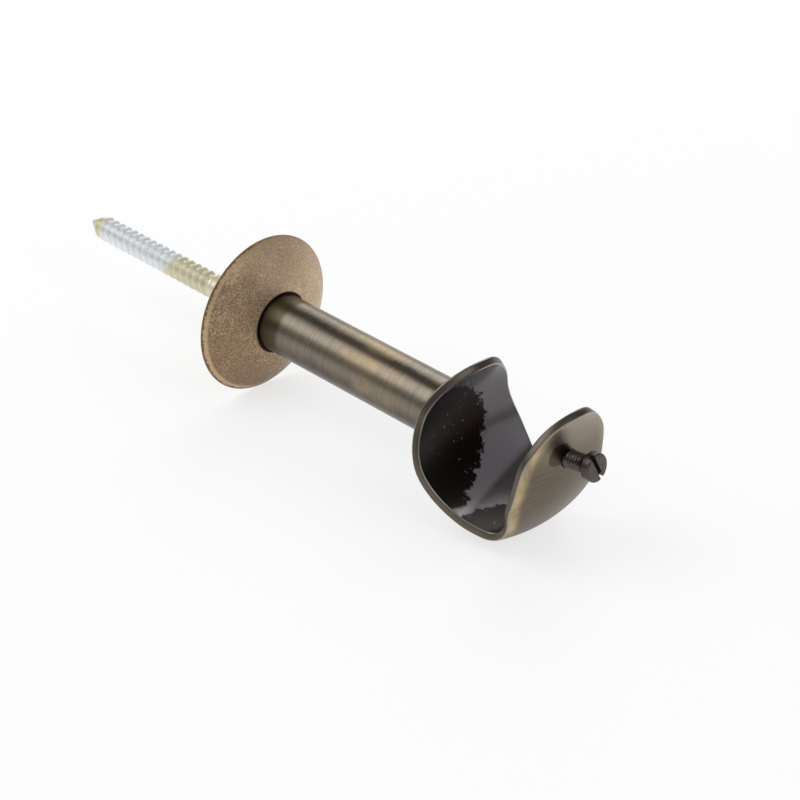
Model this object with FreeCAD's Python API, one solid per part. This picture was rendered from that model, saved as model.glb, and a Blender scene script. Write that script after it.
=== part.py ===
import FreeCAD, Part
import math
import os

# Curtain pole bracket. Millimetres, +Z up.
# Origin: centre of the rose's wall rim, on the axis of the stem tube.
# The stem runs out along -Y, the bolt goes into the wall along +Y, and the pole lies along X.

V = FreeCAD.Vector
ORIGIN = V(0, 0, 0)
OUT = V(0, -1, 0)
INTO_WALL = V(0, 1, 0)
ALONG_POLE = V(1, 0, 0)
UP = V(0, 0, 1)

# Clearances
POLE_GAP = 0.3
THREAD_GAP = 0.05
ROSE_GAP = 0.3
WALL_GAP = 0.5

# The pole that the cradle carries
POLE_DIAMETER = 25.0
POLE_OUT = 75.5
POLE_RISE = 4.0

# Stem tube
TUBE_DIAMETER = 13.6
TUBE_WALL = 1.0

# Wall rose
ROSE_DIAMETER = 37.8
ROSE_DOME_RADIUS = 29.3
ROSE_SHEET = 1.0
ROSE_HOLE_CHAMFER = 0.35

# Hanger bolt, and the threaded insert that takes it
BOLT_DIAMETER = 6.0
BOLT_REACH = 62.0
BOLT_POINT_LENGTH = 4.5
BOLT_POINT_DIAMETER = 0.8
BOLT_NECK_GAP = 0.3
BOLT_MACHINE_DIAMETER = 5.0
BOLT_MACHINE_CHAMFER = 0.4
INSERT_LENGTH = 12.0
INSERT_CHAMFER = 0.6

# Cradle: a strip bent to six tangent stretches, from the back tip to the front tip.
# Headings are in degrees from straight out at the bottom, and rise towards the front.
SHEET = 1.8
SEAT_EASE = 3.2
BELLY_EASE = 10.3
TOE_EASE = -6.5
SHIN_EASE = 9.3
FLARE_RADIUS = 14.7
BACK_TIP_HEADING = -135.0
BELLY_HEADING = -70.0
TOE_HEADING = -22.0
SHIN_HEADING = 58.0
LIP_HEADING = 82.0
FRONT_TIP_HEADING = 49.0
LIP_LENGTH = 10.0
TOE_FORWARD = 3.4
TOE_DROP = 13.35

# Outline of the flat strip: two rounded lobes and a waist
BACK_LOBE_HALF = 16.4
BACK_LOBE_LENGTH = 23.5
FRONT_LOBE_HALF = 13.7
FRONT_LOBE_LENGTH = 15.5
WAIST_HALF = 10.4
WAIST_FORWARD = 8.0
LOBE_FULLNESS = 1.6
LOBE_TIP_POWER = 0.6
TIP_HALF = 0.5
OUTLINE_SECTIONS = 30

# Clamp screw, in a tapped hole in the front lip
SCREW_DIAMETER = 4.0
SCREW_HEAD_DIAMETER = 6.8
SCREW_HEAD_HEIGHT = 2.6
SCREW_HEAD_CHAMFER = 0.3
SCREW_SLOT_WIDTH = 1.0
SCREW_SLOT_DEPTH = 1.2
SCREW_SLOT_TURN = -62.0
SCREW_TIP_CHAMFER = 0.5
SCREW_STANDOFF = 6.0
SCREW_TILT = 9.0
SCREW_UP_LIP = 8.0

# Sizes that follow from those above
TUBE_RADIUS = TUBE_DIAMETER / 2
TUBE_BORE_RADIUS = TUBE_RADIUS - TUBE_WALL
ROSE_RADIUS = ROSE_DIAMETER / 2
BOLT_RADIUS = BOLT_DIAMETER / 2
CUP_RADIUS = POLE_DIAMETER / 2 + POLE_GAP
HALF_SHEET = SHEET / 2
SCREW_AXIS = V(0, -math.cos(math.radians(SCREW_TILT)), math.sin(math.radians(SCREW_TILT)))


def side(out, up):
    """A point of the side view: a distance out from the wall, and a height."""
    return V(0, -out, up)


def tangent(heading):
    """The way the strip runs at a heading, towards its front tip."""
    return side(math.cos(math.radians(heading)), math.sin(math.radians(heading)))


def outward(heading):
    """The strip's normal at a heading, away from the pole."""
    return side(math.sin(math.radians(heading)), -math.cos(math.radians(heading)))


class Stretch:
    """One tangent stretch of the bent strip's middle line: an arc, or a straight if it doesn't turn."""

    def __init__(self, start, heading, turn, length):
        self.start = start
        self.heading = heading
        self.turn = turn
        self.length = length

    def heading_at(self, distance):
        return self.heading + self.turn * distance / self.length

    def point_at(self, distance):
        if self.turn == 0:
            return self.start + tangent(self.heading) * distance
        radius = self.length / math.radians(self.turn)
        centre = self.start - outward(self.heading) * radius
        return centre + outward(self.heading_at(distance)) * radius

    def edge(self, offset):
        """The stretch's line at an offset from the middle line, outward if positive."""
        points = []
        for distance in (0, self.length / 2, self.length):
            points.append(self.point_at(distance) + outward(self.heading_at(distance)) * offset)
        if self.turn == 0:
            return Part.makeLine(points[0], points[2])
        return Part.Arc(points[0], points[1], points[2]).toShape()


def arc_length(inner_radius, turn):
    """Middle line length of an arc whose inner face has the given radius."""
    return (inner_radius + HALF_SHEET) * math.radians(turn)


def strip_profile():
    """The stretches from the back tip to the front tip, placed by the toe's centre."""
    toe_radius = CUP_RADIUS + TOE_EASE + HALF_SHEET
    toe_centre = side(POLE_OUT + TOE_FORWARD, POLE_RISE - TOE_DROP)
    toe_start = toe_centre + outward(TOE_HEADING) * toe_radius
    shapes = [
        (BACK_TIP_HEADING, BELLY_HEADING, CUP_RADIUS + SEAT_EASE),
        (BELLY_HEADING, TOE_HEADING, CUP_RADIUS + BELLY_EASE),
        (TOE_HEADING, SHIN_HEADING, CUP_RADIUS + TOE_EASE),
        (SHIN_HEADING, LIP_HEADING, CUP_RADIUS + SHIN_EASE),
    ]
    stretches = []
    point = ORIGIN
    for first, last, inner_radius in shapes:
        if first == TOE_HEADING:
            shift = toe_start - point
            for done in stretches:
                done.start = done.start + shift
            point = toe_start
        stretch = Stretch(point, first, last - first, arc_length(inner_radius, last - first))
        stretches.append(stretch)
        point = stretch.point_at(stretch.length)
    lip = Stretch(point, LIP_HEADING, 0, LIP_LENGTH)
    flare_turn = FRONT_TIP_HEADING - LIP_HEADING
    flare_length = (FLARE_RADIUS + HALF_SHEET) * math.radians(-flare_turn)
    flare = Stretch(lip.point_at(LIP_LENGTH), LIP_HEADING, flare_turn, flare_length)
    return stretches + [lip, flare]


STRETCHES = strip_profile()
STRIP_LENGTH = sum(stretch.length for stretch in STRETCHES)
TOE_START = STRETCHES[0].length + STRETCHES[1].length
LIP_START = TOE_START + STRETCHES[2].length + STRETCHES[3].length


def on_strip(distance):
    """Middle line point and heading at a distance from the back tip."""
    for stretch in STRETCHES:
        if distance <= stretch.length or stretch is STRETCHES[-1]:
            return stretch.point_at(distance), stretch.heading_at(distance)
        distance -= stretch.length


def lobe(share):
    """Half-width of a lobe as a share of its widest, from 0 at the widest place to 1 at the tip."""
    return max(0.0, 1 - share ** LOBE_FULLNESS) ** LOBE_TIP_POWER


def ease(low, high, share):
    """A smooth step from one half-width to another."""
    return low + (high - low) * (1 - math.cos(math.pi * share)) / 2


def half_width(distance):
    """Half-width of the flat strip at a distance from the back tip."""
    waist = TOE_START + WAIST_FORWARD
    front_widest = STRIP_LENGTH - FRONT_LOBE_LENGTH
    if distance < BACK_LOBE_LENGTH:
        half = BACK_LOBE_HALF * lobe(1 - distance / BACK_LOBE_LENGTH)
    elif distance < waist:
        share = (distance - BACK_LOBE_LENGTH) / (waist - BACK_LOBE_LENGTH)
        half = ease(BACK_LOBE_HALF, WAIST_HALF, share)
    elif distance < front_widest:
        half = ease(WAIST_HALF, FRONT_LOBE_HALF, (distance - waist) / (front_widest - waist))
    else:
        half = FRONT_LOBE_HALF * lobe((distance - front_widest) / FRONT_LOBE_LENGTH)
    return max(TIP_HALF, half)


def bent_sheet(reach):
    """The bent sheet as a prism that runs to a reach on each side, before its outline is cut."""
    inner = [stretch.edge(-HALF_SHEET) for stretch in STRETCHES]
    outer = [stretch.edge(HALF_SHEET) for stretch in STRETCHES]
    back = Part.makeLine(outer[0].Vertexes[0].Point, inner[0].Vertexes[0].Point)
    front = Part.makeLine(inner[-1].Vertexes[-1].Point, outer[-1].Vertexes[-1].Point)
    wire = Part.Wire(Part.__sortEdges__(inner + outer + [back, front]))
    prism = Part.Face(wire).extrude(ALONG_POLE * 2 * reach)
    prism.translate(-ALONG_POLE * reach)
    return prism


def outline_cutter():
    """A solid square to the sheet whose sides follow the strip's outline."""
    depth = SHEET * 1.5
    sections = []
    for index in range(OUTLINE_SECTIONS + 1):
        share = (1 - math.cos(math.pi * index / OUTLINE_SECTIONS)) / 2
        distance = STRIP_LENGTH * share
        point, heading = on_strip(distance)
        across = ALONG_POLE * half_width(distance)
        through = outward(heading) * depth
        corners = [point - across - through, point + across - through,
                   point + across + through, point - across + through]
        sections.append(Part.makePolygon(corners + corners[:1]))
    return Part.makeLoft(sections, True, False)


def screw_seat():
    """Where the screw's axis crosses the lip's inner and outer faces."""
    point, heading = on_strip(LIP_START + SCREW_UP_LIP)
    slope = SCREW_AXIS.dot(outward(heading))
    inner = point - SCREW_AXIS * (HALF_SHEET / slope)
    outer = point + SCREW_AXIS * (HALF_SHEET / slope)
    return inner, outer


def revolve(points, axis):
    """A turned solid: points are pairs of a radius and a distance along the axis from the origin."""
    corners = [axis * along + ALONG_POLE * radius for radius, along in points]
    face = Part.Face(Part.makePolygon(corners + corners[:1]))
    return face.revolve(ORIGIN, axis, 360)


def dome_edge(radius, first, last):
    """An arc of the rose's dome between two distances from its axis, in the plane above the axis."""
    centre = INTO_WALL * (ROSE_DOME_RADIUS ** 2 - ROSE_RADIUS ** 2) ** 0.5
    points = []
    for away in (first, (first + last) / 2, last):
        points.append(centre + UP * away - INTO_WALL * (radius ** 2 - away ** 2) ** 0.5)
    return Part.Arc(points[0], points[1], points[2]).toShape()


def wall_rose():
    """Stamped dome with an open rim and a round hole for the tube."""
    hole = TUBE_RADIUS + ROSE_GAP
    inner_radius = ROSE_DOME_RADIUS - ROSE_SHEET
    centre_back = (ROSE_DOME_RADIUS ** 2 - ROSE_RADIUS ** 2) ** 0.5
    inner_rim = (inner_radius ** 2 - centre_back ** 2) ** 0.5
    outer = dome_edge(ROSE_DOME_RADIUS, ROSE_RADIUS, hole)
    inner = dome_edge(inner_radius, hole, inner_rim)
    lip = Part.makeLine(outer.Vertexes[-1].Point, inner.Vertexes[0].Point)
    rim = Part.makeLine(inner.Vertexes[-1].Point, outer.Vertexes[0].Point)
    face = Part.Face(Part.Wire([outer, lip, inner, rim]))
    dome = face.revolve(ORIGIN, INTO_WALL, 360)
    mouth = [edge for edge in dome.Edges
             if abs(edge.BoundBox.ZLength - 2 * hole) < 0.01 and edge.BoundBox.YLength < 0.01]
    front = min(mouth, key=lambda edge: edge.BoundBox.YMin)
    return dome.makeChamfer(ROSE_HOLE_CHAMFER, [front])


def stem_tube():
    """Round tube whose front end is cut to the cradle's outer face."""
    length = POLE_OUT
    tube = Part.makeCylinder(TUBE_RADIUS, length, OUT * WALL_GAP, OUT)
    bore = Part.makeCylinder(TUBE_BORE_RADIUS, length, OUT * WALL_GAP, OUT)
    outer = [stretch.edge(HALF_SHEET) for stretch in STRETCHES]
    mouth = Part.makeLine(outer[-1].Vertexes[-1].Point, outer[0].Vertexes[0].Point)
    cup = Part.Face(Part.Wire(Part.__sortEdges__(outer + [mouth])))
    cup = cup.extrude(ALONG_POLE * 2 * TUBE_DIAMETER)
    cup.translate(-ALONG_POLE * TUBE_DIAMETER)
    return tube.cut(bore).cut(cup)


def threaded_insert():
    """Plug in the tube's wall end with a thread for the bolt."""
    start = WALL_GAP
    hole = BOLT_MACHINE_DIAMETER / 2 + THREAD_GAP
    outline = [
        (hole + INSERT_CHAMFER, start),
        (TUBE_BORE_RADIUS, start),
        (TUBE_BORE_RADIUS, start + INSERT_LENGTH),
        (hole, start + INSERT_LENGTH),
        (hole, start + INSERT_CHAMFER),
    ]
    return revolve(outline, OUT)


def hanger_bolt():
    """Bolt with a machine end in the insert, and a thicker wood screw end with a cone point."""
    machine = BOLT_MACHINE_DIAMETER / 2
    end = -WALL_GAP - INSERT_LENGTH
    neck = -WALL_GAP + BOLT_NECK_GAP
    outline = [
        (0, end),
        (machine - BOLT_MACHINE_CHAMFER, end),
        (machine, end + BOLT_MACHINE_CHAMFER),
        (machine, neck),
        (BOLT_RADIUS, neck),
        (BOLT_RADIUS, BOLT_REACH - BOLT_POINT_LENGTH),
        (BOLT_POINT_DIAMETER / 2, BOLT_REACH),
        (0, BOLT_REACH),
    ]
    return revolve(outline, INTO_WALL)


def cradle():
    """Bent sheet cut to the two-lobed outline, with the clamp screw's hole."""
    reach = max(BACK_LOBE_HALF, FRONT_LOBE_HALF) + SHEET
    sheet = bent_sheet(reach).common(outline_cutter())
    inner, outer = screw_seat()
    start = inner - SCREW_AXIS * SCREW_DIAMETER
    length = (outer - inner).Length + 2 * SCREW_DIAMETER
    hole = Part.makeCylinder(SCREW_DIAMETER / 2 + THREAD_GAP, length, start, SCREW_AXIS)
    return sheet.cut(hole)


def clamp_screw():
    """Slotted cheese-head screw, drawn along +Z from its tip and then laid on its axis."""
    radius = SCREW_DIAMETER / 2
    head = SCREW_HEAD_DIAMETER / 2
    inner, outer = screw_seat()
    shank = (outer - inner).Length + SCREW_STANDOFF
    body = Part.makeCylinder(radius, shank + SCREW_HEAD_HEIGHT / 2)
    tip = min(body.Edges, key=lambda edge: edge.BoundBox.ZMax)
    body = body.makeChamfer(SCREW_TIP_CHAMFER, [tip])
    cap = Part.makeCylinder(head, SCREW_HEAD_HEIGHT, UP * shank)
    crown = max(cap.Edges, key=lambda edge: edge.BoundBox.ZMin)
    cap = cap.makeChamfer(SCREW_HEAD_CHAMFER, [crown])
    slot = Part.makeBox(SCREW_HEAD_DIAMETER * 2, SCREW_SLOT_WIDTH, SCREW_SLOT_DEPTH * 2)
    slot.translate(V(-SCREW_HEAD_DIAMETER, -SCREW_SLOT_WIDTH / 2, shank + SCREW_HEAD_HEIGHT - SCREW_SLOT_DEPTH))
    screw = body.fuse(cap).removeSplitter().cut(slot)
    lean = FreeCAD.Rotation(UP, SCREW_AXIS)
    screw.Placement = FreeCAD.Placement(inner, lean * FreeCAD.Rotation(UP, SCREW_SLOT_TURN))
    return screw


def main():
    os.makedirs("parts", exist_ok=True)
    pieces = {
        "wall_rose": wall_rose(),
        "stem_tube": stem_tube(),
        "threaded_insert": threaded_insert(),
        "hanger_bolt": hanger_bolt(),
        "cradle": cradle(),
        "clamp_screw": clamp_screw(),
    }
    for name, shape in pieces.items():
        shape.exportStep(f"parts/{name}.step")
        box = shape.BoundBox
        print(name, shape.isValid(), len(shape.Solids), round(shape.Volume, 1),
              [round(v, 2) for v in (box.XMin, box.XMax, box.YMin, box.YMax, box.ZMin, box.ZMax)])


main()
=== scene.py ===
import logging
import math
from dataclasses import dataclass, field
from enum import Enum

import bmesh
import bpy
import numpy as np
from mathutils import Matrix, Vector


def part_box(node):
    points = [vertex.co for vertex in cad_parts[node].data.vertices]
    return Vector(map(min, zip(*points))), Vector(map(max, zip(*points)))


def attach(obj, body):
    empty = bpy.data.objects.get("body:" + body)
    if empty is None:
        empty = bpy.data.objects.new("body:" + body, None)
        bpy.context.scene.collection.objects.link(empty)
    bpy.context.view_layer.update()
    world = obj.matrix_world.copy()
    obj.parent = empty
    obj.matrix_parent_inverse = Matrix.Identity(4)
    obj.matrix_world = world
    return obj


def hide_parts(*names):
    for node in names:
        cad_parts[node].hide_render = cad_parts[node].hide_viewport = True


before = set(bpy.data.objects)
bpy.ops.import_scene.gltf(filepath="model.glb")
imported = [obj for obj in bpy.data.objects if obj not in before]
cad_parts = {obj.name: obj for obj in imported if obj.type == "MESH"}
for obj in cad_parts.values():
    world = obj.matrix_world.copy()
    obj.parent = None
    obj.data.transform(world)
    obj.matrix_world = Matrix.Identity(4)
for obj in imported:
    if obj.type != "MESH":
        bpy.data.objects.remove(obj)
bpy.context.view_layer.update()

log = logging.getLogger("bracket")

MM = 0.001
DEGREE = math.pi / 180
UP = Vector((0.0, 0.0, 1.0))
WHITE = (1.0, 1.0, 1.0, 1.0)
MERGE_DISTANCE = 1e-7
FLAT_EDGE = 1e-8
Colour = tuple[float, float, float]
Place = tuple[float, float, float]
Pair = tuple[float, float]
Ramp = tuple[float, ...]
Array = np.ndarray
Material = bpy.types.Material
Socket = bpy.types.NodeSocket
Piece = bpy.types.Object


class Mask(Enum):
    """The cradle sheet's own attributes, which its finish reads."""

    SIDE = "side"
    CUT = "cut"
    CORNER = "corner"
    NEAR_EDGE = "near_edge"


def linear(colour: Colour) -> tuple[float, ...]:
    """A written sRGB colour, from 0 to 255, as linear values with an alpha of 1."""
    shares = [part / 255 for part in colour]
    return tuple(v / 12.92 if v <= 0.04045 else ((v + 0.055) / 1.055) ** 2.4 for v in shares) + (1.0,)


class Tree:
    """A short way to add nodes to a node tree and to join them."""

    def __init__(self, tree: bpy.types.NodeTree) -> None:
        self.tree = tree

    def new(self, kind: str) -> bpy.types.Node:
        """Adds a node by its type, without the ShaderNode prefix."""
        return self.tree.nodes.new("ShaderNode" + kind)

    def feed(self, socket: Socket, value: object) -> None:
        """Joins a source socket to an input, or sets the input's own value.

        Args:
            socket: The input.
            value: A source socket, a value, or a written colour for a colour input.
        """
        if isinstance(value, Socket):
            self.tree.links.new(value, socket)
        elif socket.type == "RGBA" and len(value) == 3:
            socket.default_value = linear(value)
        else:
            socket.default_value = value

    def fill(self, node: bpy.types.Node, **values: object) -> None:
        """Feeds a node's inputs by name, with _ for a space."""
        for name, value in values.items():
            self.feed(node.inputs[name.replace("_", " ")], value)

    def add(self, kind: str, **values: object) -> bpy.types.Node:
        """Adds a node by its type and feeds its inputs by name."""
        node = self.new(kind)
        self.fill(node, **values)
        return node

    def blend(self, share: object, low: object, high: object) -> Socket:
        """Mixes two colours by a share, and returns the mixed colour's socket."""
        node = self.new("Mix")
        node.data_type = "RGBA"
        for number, value in ((0, share), (6, low), (7, high)):
            self.feed(node.inputs[number], value)
        return node.outputs[2]

    def coats(self, base: object, *coats: tuple[object, object]) -> Socket:
        """Lays colours over a base in order, each by its mask."""
        for mask, colour in coats:
            base = self.blend(mask, base, colour)
        return base

    def sums(self, operation: str, first: object, second: object = 0.0) -> Socket:
        """Works one sum on two values, and returns the result's socket."""
        node = self.new("Math")
        node.operation = operation
        self.feed(node.inputs[0], first)
        self.feed(node.inputs[1], second)
        return node.outputs[0]

    def times(self, first: object, second: object) -> Socket:
        """The product of two values."""
        return self.sums("MULTIPLY", first, second)

    def most(self, first: object, second: object) -> Socket:
        """The larger of two values."""
        return self.sums("MAXIMUM", first, second)

    def apart(self, first: object, second: object) -> Socket:
        """How far two values are apart."""
        return self.sums("ABSOLUTE", self.sums("SUBTRACT", first, second))

    def swing(self, noise: object, size: float) -> Socket:
        """Noise from 0 to 1 as a value that swings about nothing, over the given size."""
        return self.times(self.sums("SUBTRACT", noise, 0.5), size)

    def spread(self, value: object, low: float, high: float, to_low: float = 0.0,
               to_high: float = 1.0) -> Socket:
        """Maps a value's range smoothly to another range, and returns the result's socket."""
        node = self.new("MapRange")
        node.interpolation_type = "SMOOTHSTEP"
        self.fill(node, Value=value, From_Min=low, From_Max=high, To_Min=to_low, To_Max=to_high)
        return node.outputs["Result"]

    def noise(self, vector: object, scale: object, detail: float, roughness: float = 0.5,
              distortion: float = 0.0) -> Socket:
        """Smooth noise about 0.5, of the given scale for each metre."""
        return self.add("TexNoise", Vector=vector, Scale=scale, Detail=detail, Roughness=roughness,
                        Distortion=distortion).outputs[0]

    def object_place(self) -> tuple[Socket, bpy.types.NodeOutputs]:
        """The place in the piece's own frame, whole and as its x, y and z."""
        place = self.new("TexCoord").outputs["Object"]
        return place, self.add("SeparateXYZ", Vector=place).outputs

    def off_axis(self, x: object, z: object) -> Socket:
        """The distance from the Y axis: the root of the two squares' sum."""
        return self.sums("SQRT", self.sums("ADD", self.sums("POWER", x, 2.0), self.sums("POWER", z, 2.0)))

    def mark(self, mask: Mask) -> Socket:
        """One of the mesh's own attributes, as a value."""
        node = self.new("Attribute")
        node.attribute_name = mask.value
        return node.outputs["Fac"]

    def relief(self, height: object, strength: float, distance: float) -> Socket:
        """The normal of a surface with fine relief."""
        return self.add("Bump", Strength=strength, Distance=distance, Height=height).outputs[0]


def new_group(name: str, inputs: dict[str, str], outputs: dict[str, str]) -> Tree:
    """Makes a shader node group with named sockets.

    Args:
        name: The group's name.
        inputs: Socket kind, by name.
        outputs: Socket kind, by name.

    Returns:
        The group's tree.
    """
    group = bpy.data.node_groups.new(name, "ShaderNodeTree")
    for way, sockets in (("INPUT", inputs), ("OUTPUT", outputs)):
        for title, kind in sockets.items():
            group.interface.new_socket(title, in_out=way, socket_type="NodeSocket" + kind)
    return Tree(group)


def mottle_group() -> bpy.types.NodeTree:
    """Tarnished blotches at two sizes, with light flecks where the plate is rubbed."""
    tree = new_group(
        "mottle",
        {"Vector": "Vector", "Blotch Scale": "Float", "Grain Scale": "Float", "Dark": "Color",
         "Mid": "Color", "Light": "Color", "Fleck Share": "Float"},
        {"Color": "Color", "Grain": "Float"})
    source = tree.tree.nodes.new("NodeGroupInput").outputs
    blotch = tree.noise(source["Vector"], source["Blotch Scale"], 5.0, 0.65, 0.6)
    grain = tree.noise(source["Vector"], source["Grain Scale"], 3.0, 0.7)
    wide = tree.spread(blotch, 0.3, 0.7)
    fine = tree.spread(grain, 0.35, 0.68)
    toned = tree.blend(tree.spread(fine, 0.0, 1.0, 0.38, 1.0), source["Dark"], source["Mid"])
    toned = tree.blend(tree.times(wide, fine), toned, source["Mid"])
    rubbed = tree.spread(tree.times(tree.sums("ADD", wide, 0.35), fine), 0.62, 1.1)
    flecked = tree.blend(tree.times(rubbed, source["Fleck Share"]), toned, source["Light"])
    tree.fill(tree.tree.nodes.new("NodeGroupOutput"), Color=flecked, Grain=fine)
    return tree.tree


def brush_group() -> bpy.types.NodeTree:
    """Fine parallel scratches: noise squeezed across the stroke and drawn out along it."""
    tree = new_group(
        "brushing",
        {"Vector": "Vector", "Squeeze": "Vector", "Scale": "Float"},
        {"Strokes": "Float", "Bands": "Float"})
    source = tree.tree.nodes.new("NodeGroupInput").outputs
    drawn = tree.new("VectorMath")
    drawn.operation = "MULTIPLY"
    tree.feed(drawn.inputs[0], source["Vector"])
    tree.feed(drawn.inputs[1], source["Squeeze"])
    strokes = tree.noise(drawn.outputs[0], source["Scale"], 4.0, 0.6)
    broad = tree.noise(drawn.outputs[0], tree.times(source["Scale"], 0.16), 2.0)
    tree.fill(tree.tree.nodes.new("NodeGroupOutput"), Strokes=tree.spread(strokes, 0.3, 0.7),
              Bands=tree.spread(broad, 0.35, 0.65))
    return tree.tree


@dataclass
class Effects:
    """The shader node groups that more than one finish uses."""

    mottle: bpy.types.NodeTree = field(default_factory=mottle_group)
    brushing: bpy.types.NodeTree = field(default_factory=brush_group)

    def place(self, tree: Tree, group: bpy.types.NodeTree, **values: object) -> bpy.types.NodeOutputs:
        """Places a group in a material, feeds its inputs by name and returns its outputs."""
        node = tree.new("Group")
        node.node_tree = group
        tree.fill(node, **values)
        return node.outputs


def fresh_material(name: str) -> tuple[Material, Tree, bpy.types.Node]:
    """Makes an empty node material.

    Args:
        name: The material's name.

    Returns:
        The material, its tree and its Principled BSDF.
    """
    material = bpy.data.materials.new(name)
    material.use_nodes = True
    return material, Tree(material.node_tree), material.node_tree.nodes["Principled BSDF"]


@dataclass(frozen=True)
class Finish:
    """A finish, which makes the material of its name."""

    name: str

    def paint(self, tree: Tree, effects: Effects) -> dict[str, object]:
        """Adds the finish's nodes.

        Args:
            tree: The material's tree.
            effects: The shared node groups.

        Returns:
            Sockets and values for the Principled BSDF, by input, with _ for a space.
        """
        raise NotImplementedError

    def make(self, effects: Effects) -> Material:
        """Makes the material.

        Args:
            effects: The shared node groups.

        Returns:
            The material.
        """
        material, tree, surface = fresh_material(self.name)
        tree.fill(surface, **self.paint(tree, effects))
        return material


@dataclass(frozen=True)
class RoseFinish(Finish):
    """Aged bronze, stippled, rubbed at the rim; painted light above, shade below, and shadow at rim and hole.
    """

    name: str = "rose_bronze"
    # dark and light are the mottle's tones, and also the colours of the painted shade and the painted light.
    dark: Colour = (118, 93, 66)
    mid: Colour = (204, 177, 147)
    light: Colour = (244, 216, 182)
    rim: Colour = (196, 168, 130)
    shadow: Colour = (58, 42, 32)
    blotch_scale: float = 150.0
    grain_scale: float = 2000.0
    fleck_share: float = 0.7
    cloud_scale: float = 120.0
    clouding: Ramp = (0.46, 0.62, 0.0, 0.4)
    # Painted shade towards the lower left, and painted light towards the upper right.
    painted_shade_and_cloud: Ramp = (-22 * MM, 8 * MM, 0.62, 0.0)
    painted_light: Ramp = (-2 * MM, 14 * MM, 0.0, 0.38)
    leftward: Ramp = (-8 * MM, 6 * MM, 1.0, 0.15)
    rubbed: Ramp = (-1.1 * MM, -0.8 * MM)
    # The painted shadow line along the rim: its teeth, its place, and how far it keeps off the wall face.
    teeth_scale: float = 1500.0
    teeth_depth: float = 0.9 * MM
    band: Ramp = (0.02 * MM, 0.14 * MM, 0.0, 0.7)
    wall_face: Ramp = (-0.08 * MM, -0.02 * MM, 1.0, 0.1)
    # The painted shadow ring round the hole, rough and not metallic.
    ring: Ramp = (7.2 * MM, 7.7 * MM, 1.0, 0.0)
    ring_roughness: float = 0.9
    roughness: Ramp = (0.0, 1.0, 0.56, 0.42)
    metallic: float = 0.75
    relief: Pair = (0.3, 0.08 * MM)

    def paint(self, tree: Tree, effects: Effects) -> dict[str, object]:
        """Adds the finish's nodes, as Finish.paint says."""
        place, (x, y, z) = tree.object_place()
        mottle = effects.place(
            tree, effects.mottle, Vector=place, Blotch_Scale=self.blotch_scale, Grain_Scale=self.grain_scale,
            Dark=self.dark, Mid=self.mid, Light=self.light, Fleck_Share=self.fleck_share)
        # Painted shade towards the lower left and painted light towards the upper right, along x plus z; the
        # shade also takes random darker clouds.
        rising = tree.sums("ADD", x, z)
        cloud = tree.noise(place, self.cloud_scale, 4.0, 0.6)
        painted_shade_and_cloud = tree.most(tree.spread(rising, *self.painted_shade_and_cloud), tree.spread(cloud, *self.clouding))
        painted_light = tree.spread(rising, *self.painted_light)
        leftward = tree.spread(x, *self.leftward)
        rubbed = tree.times(tree.spread(y, *self.rubbed), leftward)
        # A thin painted shadow line with toothed edges along the rim on the left, kept off the flat wall
        # face.
        teeth = tree.times(tree.noise(place, self.teeth_scale, 2.0), self.teeth_depth)
        band = tree.times(tree.spread(tree.sums("ADD", y, teeth), *self.band), leftward)
        band = tree.times(band, tree.spread(y, *self.wall_face))
        # A painted shadow ring round the hole, rough and not metallic there; it also darkens the dark ring in
        # the gap.
        ring = tree.spread(tree.off_axis(x, z), *self.ring)
        worn = tree.spread(mottle["Grain"], *self.roughness)
        return dict(
            Base_Color=tree.coats(mottle["Color"], (painted_shade_and_cloud, self.dark), (painted_light, self.light),
                                  (rubbed, self.rim), (band, self.shadow), (ring, self.shadow)),
            Metallic=tree.times(tree.sums("SUBTRACT", 1.0, ring), self.metallic),
            Roughness=tree.most(worn, tree.times(ring, self.ring_roughness)),
            Normal=tree.relief(mottle["Grain"], *self.relief))


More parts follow.
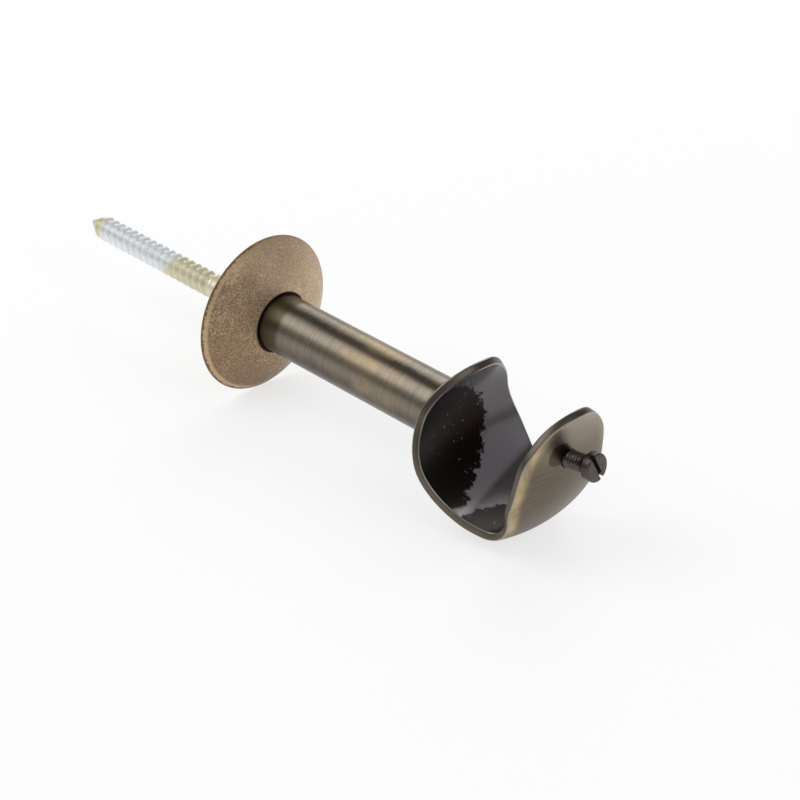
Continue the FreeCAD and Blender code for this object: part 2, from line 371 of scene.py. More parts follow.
@dataclass(frozen=True)
class TubeFinish(Finish):
    """Aged bronze, finely brushed, golden patches; a long dark streak and olive band of painted reflection;
    painted shade below.

    Angles are about the tube, from its top.
    """

    name: str = "tube_bronze"
    # dark is the colour of the painted reflection streak and of the painted shade below.
    dark: Colour = (62, 53, 44)
    mid: Colour = (120, 111, 98)
    pale: Colour = (138, 129, 116)
    gold: Colour = (158, 139, 106)
    # The olive of the rose's painted reflection and shade at the tube's end.
    olive: Colour = (84, 78, 54)
    squeeze: Place = (0.4, 34.0, 0.4)
    brush_scale: float = 120.0
    cloud_scale: float = 90.0
    wander: float = 0.55
    streak_angle: float = -22 * DEGREE
    # Where the painted reflection streak and the painted shade below lie.
    streak: Ramp = (2 * DEGREE, 13 * DEGREE, 0.65, 0.0)
    under: Ramp = (-112 * DEGREE, -82 * DEGREE, 0.8, 0.0)
    patch_middle: float = -36.0 * MM
    patch: Ramp = (6.4 * MM, 16.0 * MM, 1.0, 0.0)
    patch_cloud: Ramp = (0.4, 0.66, 0.0, 0.8)
    olive_end: Ramp = (-12.0 * MM, -11.0 * MM, 0.0, 0.85)
    roughness: Ramp = (0.0, 1.0, 0.34, 0.38)
    relief: Pair = (0.15, 0.03 * MM)
    coat: Pair = (0.2, 0.2)

    def paint(self, tree: Tree, effects: Effects) -> dict[str, object]:
        """Adds the finish's nodes, as Finish.paint says."""
        place, (x, y, z) = tree.object_place()
        brushed = effects.place(tree, effects.brushing, Vector=place, Squeeze=self.squeeze,
                                Scale=self.brush_scale)
        cloud = tree.noise(place, self.cloud_scale, 4.0, 0.6)
        around = tree.sums("ADD", tree.sums("ARCTAN2", x, z), tree.swing(cloud, self.wander))
        # A long dark streak of painted reflection along the tube, and painted shade on its underside.
        streak = tree.spread(tree.apart(around, self.streak_angle), *self.streak)
        under = tree.spread(around, *self.under)
        patch = tree.times(tree.spread(tree.apart(y, self.patch_middle), *self.patch),
                           tree.spread(cloud, *self.patch_cloud))
        patch = tree.times(patch, tree.sums("SUBTRACT", 1.0, tree.most(streak, under)))
        # An olive band at the rose end: painted reflection of the rose, and shade beside it.
        olive = tree.spread(y, *self.olive_end)
        return dict(
            Base_Color=tree.coats(self.mid, (brushed["Strokes"], self.pale), (streak, self.dark),
                                  (under, self.dark), (patch, self.gold), (olive, self.olive)),
            Metallic=1.0, Roughness=tree.spread(brushed["Bands"], *self.roughness),
            Normal=tree.relief(brushed["Strokes"], *self.relief),
            Coat_Weight=self.coat[0], Coat_Roughness=self.coat[1])


@dataclass(frozen=True)
class CradleFinish(Finish):
    """Grey gloss inside, brushed bronze outside and a satin cut edge, with painted reflections, light and
    highlights.

    The wall patch's and the screw reflection's places are in the frame, and the toe patch's and the band's on
    the flat strip.
    """

    name: str = "cradle_bronze"
    inside: Colour = (100, 95, 97)
    # A lighter band of painted reflection inside, and a darker one past it.
    band: Colour = (132, 128, 134)
    deep: Colour = (78, 72, 73)
    # Near-black painted reflection of the dark surroundings inside, with lighter specks.
    reflected_black: Colour = (30, 23, 20)
    speck: Colour = (120, 110, 104)
    # A dark patch painted round the screw's hole: the screw's painted reflection and shade on the lip.
    screw_reflection: Colour = (74, 61, 42)
    dark: Colour = (96, 87, 74)
    mid: Colour = (110, 100, 86)
    # Painted light on the outer face, rising towards the top.
    top: Colour = (150, 140, 125)
    gold: Colour = (194, 172, 130)
    edge: Colour = (104, 96, 87)
    # Painted highlight on the cut edge's two rounded corners.
    edge_highlight: Colour = (176, 168, 156)
    squeeze: Place = (1.0, 16.0, 1.0)
    brush_scale: float = 130.0
    cloud_scale: float = 110.0
    torn_scale: float = 420.0
    crumb_scale: float = 900.0
    jag: float = 1.1
    oval_edge: Ramp = (0.97, 1.05, 1.0, 0.0)
    wall_patch: Pair = (-13.8 * MM, -0.5 * MM)
    wall_reach: Pair = (20.5 * MM, 12.0 * MM)
    wall_plane: Ramp = (-74.0 * MM, -73.0 * MM)
    toe_patch: Pair = (-9.0 * MM, 50.0 * MM)
    toe_reach: Pair = (14.0 * MM, 10.0 * MM)
    # Place, reach and depth of the screw's painted reflection and shade.
    screw_reflection_place: Pair = (-3.4 * MM, 6.2 * MM)
    screw_reflection_reach: Pair = (2.8 * MM, 2.6 * MM)
    screw_reflection_plane: Ramp = (-86 * MM, -87 * MM, 0.0, 0.85)
    # Where the lighter painted reflection band starts and where the darker one takes over, slanting.
    band_start: Ramp = (23.0 * MM, 25.0 * MM, 0.0, 0.9)
    band_end: Ramp = (35.5 * MM, 37.5 * MM)
    band_slant: float = 0.3
    painted_top_light: Ramp = (2 * MM, 12 * MM, 0.0, 0.8)
    near_side: Ramp = (-8 * MM, 0.0, 1.0, 0.25)
    edge_highlight_share: float = 0.8
    metallic: Ramp = (0.0, 1.0, 0.4, 1.0)
    inner_roughness: Ramp = (0.0, 1.0, 0.26, 0.34)
    outer_roughness: float = 0.38
    edge_roughness: float = 0.4
    inner_relief: float = 0.6
    outer_relief: float = 0.15
    relief: Pair = (0.2, 0.08 * MM)

    def oval(self, tree: Tree, place: tuple[Socket, Socket], centre: Pair, reach: Pair,
             jag: Socket) -> Socket:
        """A mask that is 1 inside a jagged oval.

        Inside, the squares of the two distances from the centre, each as a share of its reach, and the
        jag add up to less than 1.

        Args:
            tree: The material's tree.
            place: The two coordinates.
            centre: The oval's centre.
            reach: Its half-lengths.
            jag: A value that swings about nothing.

        Returns:
            The mask's socket.
        """
        shares = [tree.sums("POWER", tree.sums("DIVIDE", tree.apart(value, middle), far), 2.0)
                  for value, middle, far in zip(place, centre, reach)]
        return tree.spread(tree.sums("ADD", tree.sums("ADD", *shares), jag), *self.oval_edge)

    def paint(self, tree: Tree, effects: Effects) -> dict[str, object]:
        """Adds the finish's nodes, from the sheet's own attributes and its flat chart as well."""
        place, (x, y, z) = tree.object_place()
        chart = tree.new("UVMap").outputs[0]
        across, along, _ = tree.add("SeparateXYZ", Vector=chart).outputs
        side, cut, corner, near_edge = (tree.mark(mask) for mask in Mask)
        cloud = tree.noise(place, self.cloud_scale, 4.0, 0.6)
        torn = tree.noise(place, self.torn_scale, 5.0, 0.7)
        jag = tree.swing(torn, self.jag)
        strokes = effects.place(tree, effects.brushing, Vector=chart, Squeeze=self.squeeze,
                                Scale=self.brush_scale)["Strokes"]

        # Near-black painted reflections inside: a jagged patch by the wall and one at the toe, with lighter
        # specks.
        wall = tree.times(self.oval(tree, (x, z), self.wall_patch, self.wall_reach, jag),
                          tree.spread(y, *self.wall_plane))
        dark_reflections = tree.most(wall, self.oval(tree, (across, along), self.toe_patch, self.toe_reach, jag))
        # A lighter painted reflection band across the inside, and a darker painted reflection past its
        # slanted end.
        slanted = tree.sums("ADD", along, tree.times(across, self.band_slant))
        speck = tree.times(tree.spread(tree.noise(place, self.crumb_scale, 1.0), 0.68, 0.74),
                           tree.spread(cloud, 0.5, 0.6))
        inner = tree.coats(
            self.inside, (tree.spread(along, *self.band_start), self.band),
            (tree.spread(slanted, *self.band_end), self.deep),
            (dark_reflections, tree.blend(speck, self.reflected_black, self.speck)))

        worn = tree.times(tree.spread(near_edge, 0.0, 0.9), tree.spread(cloud, 0.36, 0.6, 0.2, 1.0))
        worn = tree.times(worn, tree.spread(across, *self.near_side))
        # A dark patch painted round the screw's hole, as the screw's reflection and shade on the lip.
        screw_reflection = tree.times(self.oval(tree, (x, z), self.screw_reflection_place, self.screw_reflection_reach, jag),
                           tree.spread(y, *self.screw_reflection_plane))
        # Outside: brushing, painted light rising towards the top, the worn golden near edge, and the screw's
        # painted reflection and shade.
        outer = tree.coats(
            self.dark, (strokes, self.mid), (tree.spread(z, *self.painted_top_light), self.top),
            (worn, self.gold), (screw_reflection, self.screw_reflection))

        # Painted highlights along the cut edge's two rounded corners.
        edge = tree.blend(tree.times(corner, self.edge_highlight_share), self.edge, self.edge_highlight)
        shiny = tree.most(tree.most(side, cut), dark_reflections)
        rough = tree.most(tree.spread(dark_reflections, *self.inner_roughness),
                          tree.times(side, self.outer_roughness))
        skin = tree.times(torn, tree.spread(side, 0.0, 1.0, self.inner_relief, self.outer_relief))
        stroke = tree.times(strokes, tree.times(side, self.outer_relief))
        return dict(
            Base_Color=tree.coats(inner, (side, outer), (cut, edge)),
            Metallic=tree.spread(shiny, *self.metallic),
            Roughness=tree.most(rough, tree.times(cut, self.edge_roughness)),
            Normal=tree.relief(tree.sums("ADD", skin, stroke), *self.relief))


@dataclass(frozen=True)
class ZincFinish(Finish):
    """Zinc plate whose passivated tint runs from olive at the rose to pale blue and a yellow point.

    The core and the crest are the thread's radii.
    """

    name: str = "zinc_plate"
    core: float = 2.25 * MM
    crest: float = 3.0 * MM
    olive: Colour = (226, 221, 192)
    blue: Colour = (238, 243, 248)
    point: Colour = (232, 222, 184)
    shadow: Colour = (184, 178, 156)
    blue_reach: Ramp = (30.0 * MM, 33.0 * MM)
    point_reach: Ramp = (54.0 * MM, 58.0 * MM)
    mist_scale: float = 160.0
    drift: float = 8 * MM
    root_rise: float = 0.6
    root_share: float = 0.3
    metallic: float = 0.5
    roughness: Ramp = (0.3, 0.7, 0.38, 0.5)
    relief: Pair = (0.1, 0.05 * MM)

    def paint(self, tree: Tree, effects: Effects) -> dict[str, object]:
        """Adds the finish's nodes, as Finish.paint says."""
        place, (x, y, z) = tree.object_place()
        mist = tree.noise(place, self.mist_scale, 3.0)
        along = tree.sums("ADD", y, tree.swing(mist, self.drift))
        root_end = self.core + self.root_rise * (self.crest - self.core)
        root = tree.spread(tree.off_axis(x, z), self.core, root_end, self.root_share, 0.0)
        return dict(
            Base_Color=tree.coats(self.olive, (tree.spread(along, *self.blue_reach), self.blue),
                                  (tree.spread(along, *self.point_reach), self.point), (root, self.shadow)),
            Metallic=self.metallic, Roughness=tree.spread(mist, *self.roughness),
            Normal=tree.relief(mist, *self.relief))


@dataclass(frozen=True)
class SteelFinish(Finish):
    """Blackened or plain turned steel, with lighter rubbed places."""

    dark: Colour
    rubbed: Colour
    roughness: float = 0.34
    blotch_scale: float = 380.0
    grain_scale: float = 2600.0
    fleck_share: float = 0.5
    relief: Pair = (0.2, 0.04 * MM)

    def paint(self, tree: Tree, effects: Effects) -> dict[str, object]:
        """Adds the finish's nodes, as Finish.paint says."""
        place, _ = tree.object_place()
        mottle = effects.place(
            tree, effects.mottle, Vector=place, Blotch_Scale=self.blotch_scale, Grain_Scale=self.grain_scale,
            Dark=self.dark, Mid=self.dark, Light=self.rubbed, Fleck_Share=self.fleck_share)
        return dict(Base_Color=mottle["Color"], Metallic=1.0, Roughness=self.roughness,
                    Normal=tree.relief(mottle["Grain"], *self.relief))


def link_new(name: str, data: bpy.types.ID) -> Piece:
    """Makes an object of some data and links it to the scene."""
    item = bpy.data.objects.new(name, data)
    bpy.context.scene.collection.objects.link(item)
    return item


def grid_object(name: str, points: Array, layers: dict[Mask, Array] | None = None,
                chart: Array | None = None) -> Piece:
    """Makes a closed smooth object from a grid of points whose last column repeats the first.

    Rows of one repeated point close to a pole. Doubles are merged and normals turned outwards.

    Args:
        name: The object's name.
        points: Rows by columns by three, in metres.
        layers: Attribute values, rows by columns.
        chart: UV coordinates, rows by columns by two.

    Returns:
        The new object.
    """
    rows, columns, _ = points.shape
    index = np.arange(rows * columns).reshape(rows, columns)
    quads = np.stack([index[:-1, :-1], index[1:, :-1], index[1:, 1:], index[:-1, 1:]], -1).reshape(-1, 4)
    mesh = bpy.data.meshes.new(name)
    mesh.from_pydata(points.reshape(-1, 3).tolist(), [], quads.tolist())
    if chart is not None:
        layer = mesh.uv_layers.new(name="chart")
        corners = chart.reshape(-1, 2)[quads.reshape(-1)]
        layer.data.foreach_set("uv", corners.astype(np.float32).reshape(-1))
    for mask, values in (layers or {}).items():
        attribute = mesh.attributes.new(mask.value, "FLOAT", "POINT")
        attribute.data.foreach_set("value", values.reshape(-1).astype(np.float32))
    work = bmesh.new()
    work.from_mesh(mesh)
    bmesh.ops.remove_doubles(work, verts=work.verts, dist=MERGE_DISTANCE)
    bmesh.ops.dissolve_degenerate(work, edges=work.edges, dist=FLAT_EDGE)
    bmesh.ops.recalc_face_normals(work, faces=work.faces)
    work.to_mesh(mesh)
    work.free()
    mesh.shade_smooth()
    return link_new(name, mesh)


def smooth_curve(places: Array, values: Array, wanted: Array) -> Array:
    """A cubic through given values that never overshoots between them.

    Each inner slope is the weighted harmonic mean of the slopes on its two sides, or nothing where they
    differ in sign. The end slopes come from the three nearest values.

    Args:
        places: Places of the given values, rising.
        values: The given values.
        wanted: Places to work the curve out at.

    Returns:
        The curve's value at each wanted place.
    """
    step = np.diff(places)
    rise = np.diff(values) / step
    slope = np.zeros(values.size)
    before, after = 2 * step[1:] + step[:-1], step[1:] + 2 * step[:-1]
    same = rise[:-1] * rise[1:] > 0
    left, right = np.where(same, rise[:-1], 1.0), np.where(same, rise[1:], 1.0)
    slope[1:-1] = np.where(same, (before + after) / (before / left + after / right), 0.0)
    slope[0] = ((2 * step[0] + step[1]) * rise[0] - step[0] * rise[1]) / (step[0] + step[1])
    slope[-1] = ((2 * step[-1] + step[-2]) * rise[-1] - step[-1] * rise[-2]) / (step[-1] + step[-2])
    piece = np.clip(np.searchsorted(places, wanted, side="right") - 1, 0, step.size - 1)
    share = (wanted - places[piece]) / step[piece]
    square, cube = share ** 2, share ** 3
    level = (2 * cube - 3 * square + 1) * values[piece] + (3 * square - 2 * cube) * values[piece + 1]
    lean = (cube - 2 * square + share) * slope[piece] + (cube - square) * slope[piece + 1]
    return level + lean * step[piece]


def cut_away(piece: Piece, work: bmesh.types.BMesh) -> None:
    """Takes a closed block out of a piece and frees the block.

    Args:
        piece: The piece to cut.
        work: The block, in metres in the piece's own place.
    """
    block_mesh = bpy.data.meshes.new("block")
    work.to_mesh(block_mesh)
    work.free()
    block = link_new("block", block_mesh)
    cut = piece.modifiers.new("cut", "BOOLEAN")
    cut.operation = "DIFFERENCE"
    cut.solver = "EXACT"
    cut.object = block
    graph = bpy.context.evaluated_depsgraph_get()
    result = bpy.data.meshes.new_from_object(piece.evaluated_get(graph))
    piece.modifiers.clear()
    piece.data = result
    bpy.data.objects.remove(block)


@dataclass
class CradleSheet:
    """The cradle: a strip cut to two lobes and a waist, bent to six tangent stretches and dished across.

    Headings are in degrees from straight out at the bottom, rising towards the front. Each radius ease
    is added to the cup's radius on its own stretch. The dish is the curvature across the strip. Lengths
    are in millimetres.
    """

    cup_radius: float = 12.8
    sheet: float = 1.8
    headings: tuple[float, ...] = (-148.4, -45.0, -4.9, 56.7, 86.9)
    radius_eases: tuple[float, ...] = (2.34, 11.1, -8.05, 13.95)
    lip_length: float = 10.0
    flare_radius: float = 9.0
    front_tip_heading: float = 48.0
    toe_centre: Pair = (81.15, -10.33)
    dish: float = 0.019
    width_shares: tuple[float, ...] = (0.0, 0.16, 0.32, 0.48, 0.62, 0.74, 0.87, 1.0)
    half_widths: tuple[float, ...] = (8.6, 13.0, 15.8, 13.8, 11.0, 13.5, 12.3, 7.6)
    tip_rounds: Pair = (11.0, 12.0)
    tip_trims: Pair = (1.8, 1.4)
    edge_round: float = 0.4
    gold_width: float = 3.0
    cut_start: float = -0.95
    corner_reach: Pair = (-0.8, -0.1)
    stations: int = 220
    across: int = 26
    corner_steps: int = 6

    def __post_init__(self) -> None:
        """Works out each stretch's length, start and turn, placed by the toe's centre."""
        half = self.sheet / 2
        turns = [b - a for a, b in zip(self.headings, self.headings[1:])]
        lengths = [(self.cup_radius + ease + half) * math.radians(turn)
                   for ease, turn in zip(self.radius_eases, turns)]
        flare = self.front_tip_heading - self.headings[-1]
        self.turns = turns + [0.0, flare]
        self.lengths = lengths + [self.lip_length, (self.flare_radius + half) * math.radians(-flare)]
        self.starts = np.concatenate([[0.0], np.cumsum(self.lengths)])
        self.length = float(self.starts[-1])
        self.first_headings = list(self.headings) + [self.headings[-1]]
        self.origins = [np.zeros(2)]
        for number, length in enumerate(self.lengths):
            self.origins.append(self._along(number, np.array([length]))[0][0])
        toe = np.radians(self.headings[2])
        toe_radius = self.cup_radius + self.radius_eases[2] + half
        toe_start = np.array(self.toe_centre) + toe_radius * np.array([np.sin(toe), -np.cos(toe)])
        shift = toe_start - self.origins[2]
        self.origins = [origin + shift for origin in self.origins]

    def _along(self, number: int, distance: Array) -> tuple[Array, Array]:
        """Points (out, up) and headings along one stretch: an arc about its centre, or a straight."""
        first = math.radians(self.first_headings[number])
        turn = math.radians(self.turns[number])
        start = self.origins[number]
        if turn == 0:
            ahead = np.array([math.cos(first), math.sin(first)])
            return start + distance[:, None] * ahead, np.full(distance.shape, first)
        heading = first + turn * distance / self.lengths[number]
        radius = self.lengths[number] / turn
        centre = start - radius * np.array([math.sin(first), -math.cos(first)])
        return centre + radius * np.stack([np.sin(heading), -np.cos(heading)], 1), heading

    def path(self, distance: Array) -> tuple[Array, Array]:
        """Middle line points (out, up) and headings at distances from the back end.

        Args:
            distance: Distances along the flat strip.

        Returns:
            An array of points and an array of headings in radians.
        """
        points = np.zeros((distance.size, 2))
        headings = np.zeros(distance.size)
        stretch = np.searchsorted(self.starts[1:-1], distance, side="right")
        for number in range(len(self.lengths)):
            chosen = stretch == number
            points[chosen], headings[chosen] = self._along(number, distance[chosen] - self.starts[number])
        return points, headings

    def half_width(self, distance: Array) -> Array:
        """Half-width of the strip: a smooth curve through the named widths, rounded off at both tips.

        Within the tip round of an end the width is multiplied by the height of a quarter circle.
        """
        widths = smooth_curve(np.array(self.width_shares), np.array(self.half_widths), distance / self.length)
        reaches = (distance - self.tip_trims[0], self.length - self.tip_trims[1] - distance)
        for reach, tip_round in zip(reaches, self.tip_rounds):
            short = np.clip(1 - reach / tip_round, 0, 1)
            widths = widths * np.sqrt(np.clip(1 - short ** 2, 0, 1))
        return widths

    def bend(self, distance: Array, across: Array, lift: Array) -> Array:
        """Places points of the flat strip on the bent and dished one.

        The dish raises a point towards the pole by half the dish times the square of its distance from
        the middle line, and leans the sheet's thickness there by the same slope.

        Args:
            distance: Distances along the strip.
            across: Distances from the middle line.
            lift: Heights above the middle surface, outwards.

        Returns:
            The points in metres, in the shape of the distances by three.
        """
        point, heading = self.path(distance.reshape(-1))
        aside, height = across.reshape(-1), lift.reshape(-1) + self.sheet / 2
        lean = np.arctan(aside * self.dish)
        raised = height * np.cos(lean) - self.sheet / 2 - self.dish * aside ** 2 / 2
        out = point[:, 0] + raised * np.sin(heading)
        up = point[:, 1] - raised * np.cos(heading)
        return np.stack([aside + height * np.sin(lean), -out, up], 1).reshape(distance.shape + (3,)) * MM

    def build(self) -> Piece:
        """Builds the sheet as one closed surface: rounded sections square to the outline.

        Each row is one station along the strip. A row runs over the outer face, round the far cut edge,
        back over the inner face, round the near cut edge and back to its start. Each column has a share
        of the half-width, a height and a reach. The reach sets it off along the outline's own normal,
        from -1 on the faces to 0 at the edge's rim, and the corners are quarter circles.

        Returns:
            The sheet, with its attributes: side is 1 outside, cut is 1 on the cut edge, corner is 1 on
            the edge's two corners and near_edge rises to 1 at the edge of a broad face.
        """
        turn = np.linspace(0, np.pi, self.stations)
        station = self.tip_trims[0] + (1 - np.cos(turn)) / 2 * (self.length - sum(self.tip_trims))
        half = self.half_width(station)
        half[[0, -1]] = 0.0
        along = np.gradient(station, turn)
        wide = np.gradient(half, turn)
        size = np.hypot(along, wide)
        normal_along, normal_across = -wide / size, along / size
        normal_along[[0, -1]], normal_across[[0, -1]] = (-1.0, 1.0), (0.0, 0.0)

        thick = self.sheet / 2
        quarter = np.linspace(0, np.pi / 2, self.corner_steps)
        drop = self.edge_round * (1 - np.cos(quarter))
        rim_reach = np.concatenate([np.sin(quarter), np.sin(quarter[::-1])]) - 1
        rim_lift = np.concatenate([thick - drop, drop[::-1] - thick])
        rim = np.ones(rim_reach.size)
        flat = np.linspace(-1, 1, self.across)
        outer, inner = flat[:-1], flat[::-1][1:-1]
        face = [np.ones(part.size) for part in (outer, inner, outer[:1])]
        share = np.concatenate([outer, rim, inner, -rim, outer[:1]])
        reach = np.concatenate([-face[0], rim_reach, -face[1], rim_reach[::-1], -face[2]])
        lift = np.concatenate([face[0] * thick, rim_lift, -face[1] * thick, rim_lift[::-1], face[2] * thick])

        offset = self.edge_round * reach
        distance = station[:, None] + normal_along[:, None] * offset
        edge = np.maximum(half[:, None] + normal_across[:, None] * offset, 0)
        across = share * edge
        height, side, cut, corner = (np.broadcast_to(row, edge.shape) for row in (
            lift, lift > 0, reach > self.cut_start,
            (reach > self.corner_reach[0]) & (reach < self.corner_reach[1])))
        near = np.clip(1 - (1 - np.abs(share)) * edge / self.gold_width, 0, 1)
        chart = np.stack([across, distance], -1) * MM
        layers = dict(zip(Mask, (side, cut, corner, near)))
        return grid_object("cradle_sheet", self.bend(distance, across, height), layers, chart)

    def drill(self, piece: Piece, screw: "ClampScrew") -> None:
        """Drills the clamp screw's hole through the lip, along the screw."""
        radius = screw.hole_radius * MM
        work = bmesh.new()
        bmesh.ops.create_cone(work, cap_ends=True, segments=screw.hole_sides, radius1=radius,
                              radius2=radius, depth=screw.hole_depth * MM)
        bmesh.ops.transform(work, matrix=screw.stance(), verts=work.verts)
        cut_away(piece, work)


@dataclass
class GapShadeRing:
    """A dark ring that closes the fine gap between the rose's hole and the tube, standing for the shade
    there.
    """

    name: str = "rose_gap_shade"
    inner_radius: float = 6.805
    outer_radius: float = 7.095
    front: float = -5.6
    back: float = -5.1
    around: int = 96

    def build(self) -> Piece:
        """Builds the ring about Y, as a square section turned once round."""
        section = np.array([(self.inner_radius, self.front), (self.outer_radius, self.front),
                            (self.outer_radius, self.back), (self.inner_radius, self.back),
                            (self.inner_radius, self.front)])
        angle = np.linspace(0, 2 * np.pi, self.around + 1)
        angle[-1] = 0.0
        radius, depth = section[:, :1], np.repeat(section[:, 1:], angle.size, 1)
        points = np.stack([radius * np.cos(angle), depth, radius * np.sin(angle)], -1)
        return grid_object(self.name, points * MM)


@dataclass
class TurnedPiece:
    """A turned piece with a helical thread, as a radius worked out over height and angle."""

    name: str
    pitch: float = 1.0
    half_ridge: float = 0.5
    around: int = 56
    crest_flat: float = 0.05

    def surface(self, height: Array, base: Array, ridge: Array) -> Array:
        """Points of the turned surface about +Z.

        The radius is the base plus a ridge. The crest lies where height over pitch is half a turn past
        the angle's share of a turn. It stays flat for crest_flat of a pitch on each side, and falls
        evenly to nothing at half_ridge.

        Args:
            height: Heights of the rows.
            base: Radius of each row without thread.
            ridge: Height of the thread at each row.

        Returns:
            Rows by columns by three, in the given unit.
        """
        angle = np.linspace(0, 2 * np.pi, self.around + 1)
        angle[-1] = 0.0
        share = (height[:, None] / self.pitch - angle[None, :] / (2 * np.pi)) % 1.0
        slope = np.clip((self.half_ridge - np.abs(share - 0.5)) / (self.half_ridge - self.crest_flat), 0, 1)
        radius = base[:, None] + ridge[:, None] * slope
        heights = np.broadcast_to(height[:, None], radius.shape)
        return np.stack([radius * np.cos(angle), radius * np.sin(angle), heights], -1)


@dataclass
class HangerBolt(TurnedPiece):
    """The bolt behind the rose: machine end, plain neck, coarse wood thread and a blunt cone."""

    name: str = "wood_bolt"
    machine_radius: float = 2.5
    crest_radius: float = 3.0
    core_radius: float = 2.25
    pitch: float = 2.34
    half_ridge: float = 0.36
    inner_end: float = -12.5
    end_chamfer: float = 0.4
    neck_start: float = -0.2
    thread_start: float = 15.5
    thread_rise: float = 1.2
    cone_start: float = 57.5
    tip: float = 62.0
    tip_radius: float = 0.4
    rows_per_pitch: int = 14

    def build(self) -> Piece:
        """Builds the bolt along +Y. The neck eases to the core as the thread rises out of it."""
        steps = int((self.tip - self.thread_start) / self.pitch * self.rows_per_pitch)
        thread = np.linspace(self.thread_start, self.tip, steps)
        start = np.array([self.inner_end, self.inner_end, self.inner_end + self.end_chamfer,
                          self.neck_start, self.neck_start])
        start_radius = np.array([0.0, self.machine_radius - self.end_chamfer, self.machine_radius,
                                 self.machine_radius, self.crest_radius])
        rise = np.clip((thread - self.thread_start) / (self.thread_rise * self.pitch), 0, 1)
        rise = rise * rise * (3 - 2 * rise)
        base = self.crest_radius + (self.core_radius - self.crest_radius) * rise
        cone = np.interp(thread, [self.cone_start, self.tip], [self.crest_radius, self.tip_radius])
        height = np.concatenate([start, thread, [self.tip]])
        radius = np.concatenate([start_radius, base, [0.0]])
        ridge = np.concatenate([np.zeros(start.size), self.crest_radius - base, [0.0]])
        points = self.surface(height, radius, ridge)
        limit = np.concatenate([start_radius, cone, [0.0]])[:, None]
        length = np.hypot(points[..., 0], points[..., 1])
        share = np.minimum(1.0, limit / np.maximum(length, 1e-6))
        turned = np.stack([points[..., 0] * share, points[..., 2], -points[..., 1] * share], -1)
        return grid_object(self.name, turned * MM)


@dataclass
class ClampScrew(TurnedPiece):
    """The slotted cheese-head screw in the cradle's front lip, at its own place in the frame."""

    name: str = "slotted_screw"
    crest_radius: float = 2.0
    core_radius: float = 1.66
    hole_radius: float = 2.03
    hole_depth: float = 24.0
    hole_sides: int = 48
    pitch: float = 0.7
    half_ridge: float = 0.46
    head_radius: float = 3.1
    head_height: float = 2.03
    head_round: float = 0.35
    head_edge: float = 0.12
    crown_steps: int = 6
    shank: float = 8.45
    slot_width: float = 1.0
    slot_depth: float = 1.2
    slot_turn: float = -62.0
    tilt: float = 9.0
    tip_out: float = 88.461
    tip_up: float = 3.597
    tip_chamfer: float = 0.5
    neck: float = 0.4
    rows_per_pitch: int = 12
    sharp_angle: float = 38.0

    def stance(self) -> Matrix:
        """Where the screw stands: its tip at the origin of its own +Z, leaning up by the tilt."""
        tilt = math.radians(self.tilt)
        lean = UP.rotation_difference(Vector((0.0, -math.cos(tilt), math.sin(tilt))))
        place = Vector((0.0, -self.tip_out, self.tip_up)) * MM
        return Matrix.Translation(place) @ lean.to_matrix().to_4x4()

    def build(self) -> Piece:
        """Builds the screw along its axis: a threaded shank, a head with a rounded crown, and a slot."""
        steps = int(self.shank / self.pitch * self.rows_per_pitch)
        thread = np.linspace(0, self.shank, steps)
        base = np.full(steps, self.core_radius)
        base[0] = self.crest_radius - self.tip_chamfer
        ridge = np.full(steps, self.crest_radius - self.core_radius)
        ridge[(thread < self.tip_chamfer) | (thread > self.shank - self.neck)] = 0
        crown = np.linspace(0, np.pi / 2, self.crown_steps)
        top = self.shank + self.head_height
        head_height = np.concatenate([[self.shank, self.shank, self.shank + self.head_edge],
                                      top - self.head_round * (1 - np.sin(crown)), [top]])
        head_radius = np.concatenate([[self.core_radius, self.head_radius - self.head_edge, self.head_radius],
                                      self.head_radius - self.head_round * (1 - np.cos(crown)), [0.0]])
        height = np.concatenate([[0.0], thread, head_height])
        radius = np.concatenate([[0.0], base, head_radius])
        ridges = np.concatenate([[0.0], ridge, np.zeros(head_height.size)])
        points = self.surface(height, radius, ridges)
        piece = grid_object(self.name, points * MM)
        work = bmesh.new()
        bmesh.ops.create_cube(work, size=1.0)
        scale = Matrix.Diagonal((self.head_radius * 4, self.slot_width, self.slot_depth * 2, 1.0))
        place = Matrix.Scale(MM, 4) @ Matrix.Translation((0, 0, top)) @ scale
        bmesh.ops.transform(work, matrix=place, verts=work.verts)
        cut_away(piece, work)
        piece.data.transform(self.stance() @ Matrix.Rotation(math.radians(self.slot_turn), 4, "Z"))
        piece.data.set_sharp_from_angle(angle=math.radians(self.sharp_angle))
        return piece


@dataclass(frozen=True)
class Softbox:
    """One square soft light: its place and its side in metres, and its power in watts."""

    name: str
    place: Place
    size: float
    power: float

    def hang(self, target: Vector) -> None:
        """Hangs the light so that it faces the target."""
        data = bpy.data.lights.new(self.name, "AREA")
        data.shape = "SQUARE"
        data.size = self.size
        data.energy = self.power
        light = link_new(self.name, data)
        light.location = self.place
        light.rotation_euler = (target - light.location).to_track_quat("-Z", "Y").to_euler()


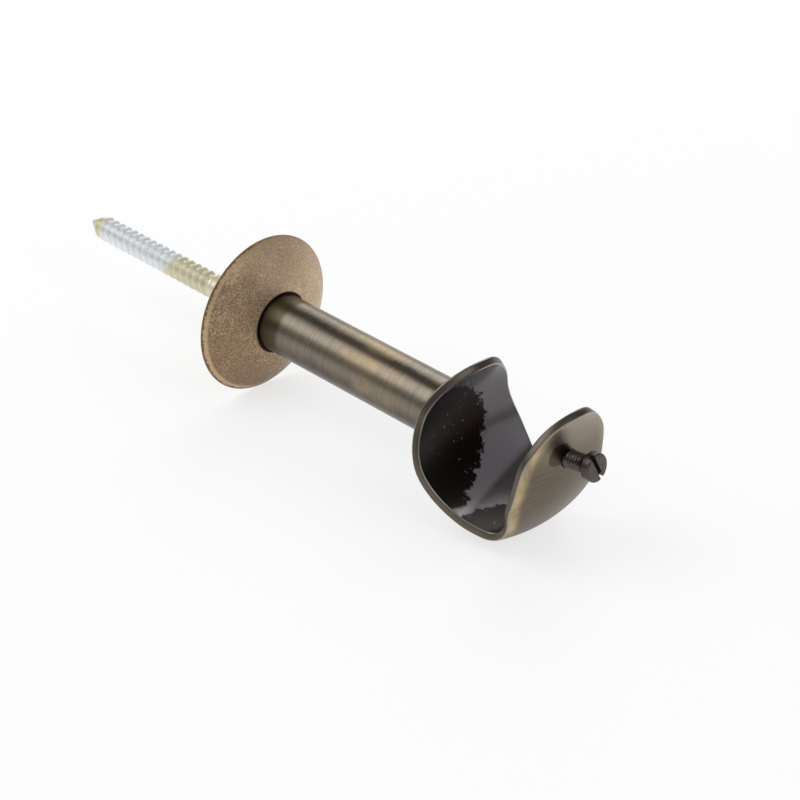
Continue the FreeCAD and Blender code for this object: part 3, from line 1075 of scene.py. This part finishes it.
@dataclass(frozen=True)
class PhotoCamera:
    """The camera as fitted to the photograph: angles in degrees, places in metres and in pixels."""

    azimuth: float = -47.603
    elevation: float = 29.854
    roll: float = -4.006
    distance: float = 0.4492
    focal_pixels: float = 2059.6
    target: Place = (0.0, -0.03825, 0.0)
    target_pixel: Pair = (381.6, 376.0)
    picture_pixels: float = 800.0
    sensor_width: float = 36.0
    near_limit: float = 0.01

    def set_up(self) -> None:
        """Places the camera so that the target falls on its pixel."""
        azimuth, elevation, roll = (math.radians(v) for v in (self.azimuth, self.elevation, self.roll))
        back = Vector((math.sin(azimuth) * math.cos(elevation), -math.cos(azimuth) * math.cos(elevation),
                       math.sin(elevation)))
        level = (-back).cross(UP).normalized()
        plumb = (-back).cross(level)
        right = level * math.cos(roll) + plumb * math.sin(roll)
        down = plumb * math.cos(roll) - level * math.sin(roll)
        aside, below = ((pixel - self.picture_pixels / 2) / self.focal_pixels * self.distance
                        for pixel in self.target_pixel)
        place = Vector(self.target) + back * self.distance - right * aside - down * below
        data = bpy.data.cameras.new("camera")
        data.sensor_width = self.sensor_width
        data.lens = self.focal_pixels / self.picture_pixels * self.sensor_width
        data.clip_start = self.near_limit
        camera = link_new("camera", data)
        turned = Matrix((right, -down, back)).transposed().to_4x4()
        camera.matrix_world = Matrix.Translation(place) @ turned
        bpy.context.scene.camera = camera


@dataclass
class Studio:
    """Plain floor, soft light and the camera at the photograph's angle."""

    floor_size: float = 6.0
    floor_colour: tuple[float, float, float, float] = (0.98, 0.98, 0.98, 1)
    floor_roughness: float = 0.9
    whiteness: float = 0.7
    world_level: float = 0.55
    glossy_level: float = 0.22
    light_target: Place = (0.0, -0.03, 0.0)
    softboxes: tuple[Softbox, ...] = (
        Softbox("softbox_left", (-0.55, 0.45, 0.75), 0.7, 3.4),
        Softbox("softbox_right", (0.75, 0.35, 0.6), 0.7, 3.0),
        Softbox("softbox_front", (-0.2, -0.9, 0.8), 0.6, 2.0))

    def paint_world(self) -> None:
        """A white world for the camera, an even level for diffuse light and a darker one for reflections."""
        world = bpy.data.worlds.new("studio")
        bpy.context.scene.world = world
        world.use_nodes = True
        tree = Tree(world.node_tree)
        path = tree.new("LightPath").outputs
        even, dim = ((level, level, level, 1.0) for level in (self.world_level, self.glossy_level))
        shown = tree.coats(even, (path["Is Glossy Ray"], dim), (path["Is Camera Ray"], WHITE))
        tree.feed(world.node_tree.nodes["Background"].inputs["Color"], shown)

    def lay_floor(self) -> None:
        """A white floor at the bracket's lowest point, which keeps the soft shadow."""
        low = min(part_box(node)[0].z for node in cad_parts)
        half = self.floor_size / 2
        corners = [(-half, -half, low), (half, -half, low), (half, half, low), (-half, half, low)]
        mesh = bpy.data.meshes.new("floor")
        mesh.from_pydata(corners, [], [(0, 1, 2, 3)])
        floor = link_new("floor", mesh)
        material, tree, surface = fresh_material("floor_white")
        tree.fill(surface, Base_Color=self.floor_colour, Roughness=self.floor_roughness,
                  Specular_IOR_Level=0.0)
        glow = tree.add("Emission", Color=WHITE, Strength=1.0)
        path = tree.new("LightPath").outputs
        seen = tree.most(path["Is Camera Ray"], path["Is Glossy Ray"])
        mix = tree.new("MixShader")
        for socket, value in zip(mix.inputs, (
                tree.times(seen, self.whiteness), surface.outputs[0], glow.outputs[0])):
            tree.feed(socket, value)
        tree.fill(tree.tree.nodes["Material Output"], Surface=mix.outputs[0])
        mesh.materials.append(material)

    def build(self) -> None:
        """Sets the view, the world, the floor, the softboxes and the camera."""
        bpy.context.scene.view_settings.view_transform = "Standard"
        self.paint_world()
        self.lay_floor()
        for softbox in self.softboxes:
            softbox.hang(Vector(self.light_target))
        PhotoCamera().set_up()


def dress(node: str, material: Material) -> None:
    """Gives a CAD node its finish.

    Args:
        node: The node's name.
        material: The finish.
    """
    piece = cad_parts[node]
    piece.data.materials.clear()
    piece.data.materials.append(material)
    log.info("%s keeps its CAD mesh, %s", node, material.name)


def add_piece(piece: Piece, body: str, material: Material, node: str = "") -> None:
    """Adds a modelled piece, in a CAD node's place if one is named.

    Args:
        piece: The modelled piece.
        body: The body that it rides on.
        material: The finish.
        node: The CAD node that it stands for.
    """
    piece.data.materials.append(material)
    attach(piece, body)
    log.info("%s is added, %d faces", piece.name, len(piece.data.polygons))
    if node:
        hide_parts(node)
        log.info("%s stands for %s", piece.name, node)


def main() -> None:
    """Builds the studio and dresses each piece in order."""
    logging.basicConfig(level=logging.INFO, format="%(message)s")
    Studio().build()
    effects = Effects()
    rose_bronze = RoseFinish().make(effects)
    dress("wall_rose", rose_bronze)
    # The dark ring in the gap between rose and tube stands for the shade there and takes the rose's painted
    # shadow.
    add_piece(GapShadeRing().build(), "bracket", rose_bronze)
    dress("stem_tube", TubeFinish().make(effects))
    dress("threaded_insert", SteelFinish("insert_steel", (120, 118, 112), (180, 178, 170)).make(effects))
    bolt = HangerBolt()
    zinc = ZincFinish(core=bolt.core_radius * MM, crest=bolt.crest_radius * MM).make(effects)
    add_piece(bolt.build(), "bracket", zinc, "hanger_bolt")
    screw = ClampScrew()
    cradle = CradleSheet()
    sheet = cradle.build()
    cradle.drill(sheet, screw)
    add_piece(sheet, "bracket", CradleFinish().make(effects), "cradle")
    dark = SteelFinish("blackened_steel", (86, 80, 77), (152, 145, 136), 0.36).make(effects)
    add_piece(screw.build(), "screw", dark, "clamp_screw")


if __name__ == "__main__":
    main()
